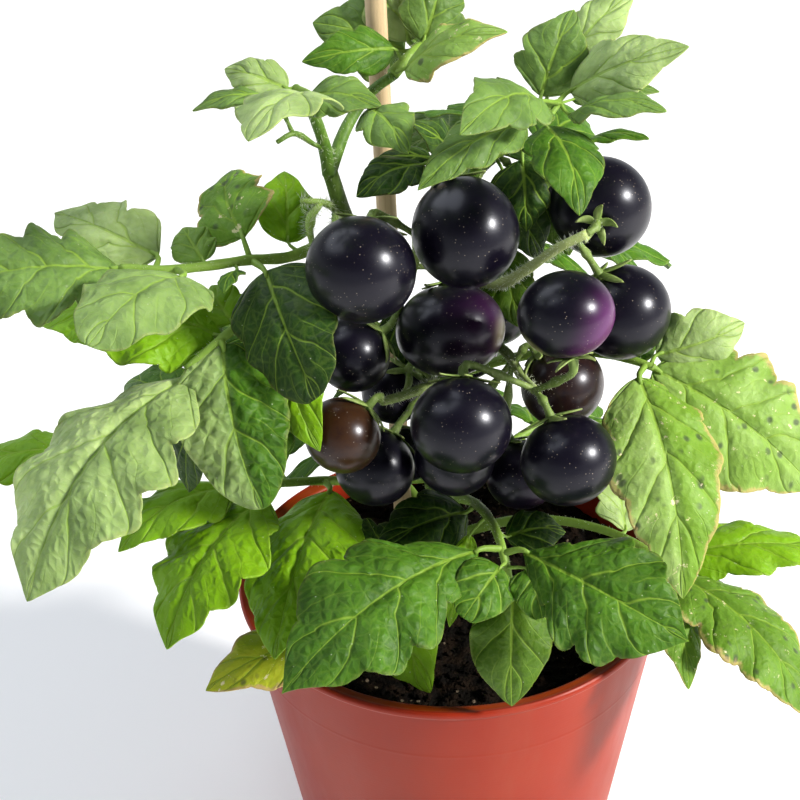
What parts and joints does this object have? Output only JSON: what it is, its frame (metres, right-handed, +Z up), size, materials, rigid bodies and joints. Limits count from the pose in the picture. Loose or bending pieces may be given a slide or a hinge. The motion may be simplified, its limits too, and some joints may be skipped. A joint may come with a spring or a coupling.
{
  "type": "potted tomato plant",
  "caption": "Dwarf tomato plant with lobed leaves and clusters of round, glossy, near-black purple fruits, standing beside a thin wooden cane in a round terracotta-coloured plastic pot.",
  "frame": {"origin": "centre of the pot's flat underside", "axes": "+Z up along the pot's axis; -Y towards the front, where most of the fruits hang; +X to the right as seen from the front"},
  "size_m": [0.272, 0.241, 0.344],
  "materials": {
    "pot": "terracotta-red moulded plastic, softly glossy",
    "soil": "damp, dark, crumbly potting compost",
    "cane": "smooth untreated pale wood",
    "stem": "green stem covered in fine short hairs",
    "leaf": "soft green leaf, quilted between its veins, with a faint sheen",
    "truss": "pale green stalk and sepals with fine hairs",
    "fruit": "smooth glossy skin, near-black purple"
  },
  "bodies": {
    "root": {"cane": "cane", "frond_back_left": "leaf", "frond_back_low_left": "leaf", "frond_back_low_right": "leaf", "frond_back_middle": "leaf", "frond_back_right": "leaf", "frond_back_top": "leaf", "frond_far_left": "leaf", "frond_front": "leaf", "frond_inner_right": "leaf", "frond_inner_top": "leaf", "frond_left": "leaf", "frond_low_front": "leaf", "frond_lower_left": "leaf", "frond_lower_right": "leaf", "frond_right": "leaf", "frond_upper_left": "leaf", "fruit_01": "fruit", "fruit_02": "fruit", "fruit_03": "fruit", "fruit_04": "fruit", "fruit_05": "fruit", "fruit_06": "fruit", "fruit_07": "fruit", "fruit_08": "fruit", "fruit_09": "fruit", "fruit_10": "fruit", "fruit_11": "fruit", "fruit_12": "fruit", "fruit_13": "fruit", "fruit_14": "fruit", "fruit_15": "fruit", "fruit_16": "fruit", "fruit_17": "fruit", "fruit_18": "fruit", "fruit_19": "fruit", "fruit_20": "fruit", "main_stem": "stem", "pot": "pot", "shoot_top": "leaf", "shoot_top_left": "leaf", "shoot_top_right": "leaf", "soil": "soil", "truss_back": "truss", "truss_left": "truss", "truss_middle": "truss", "truss_right": "truss", "truss_small": "truss", "truss_top": "truss"}
  },
  "joints": []
}
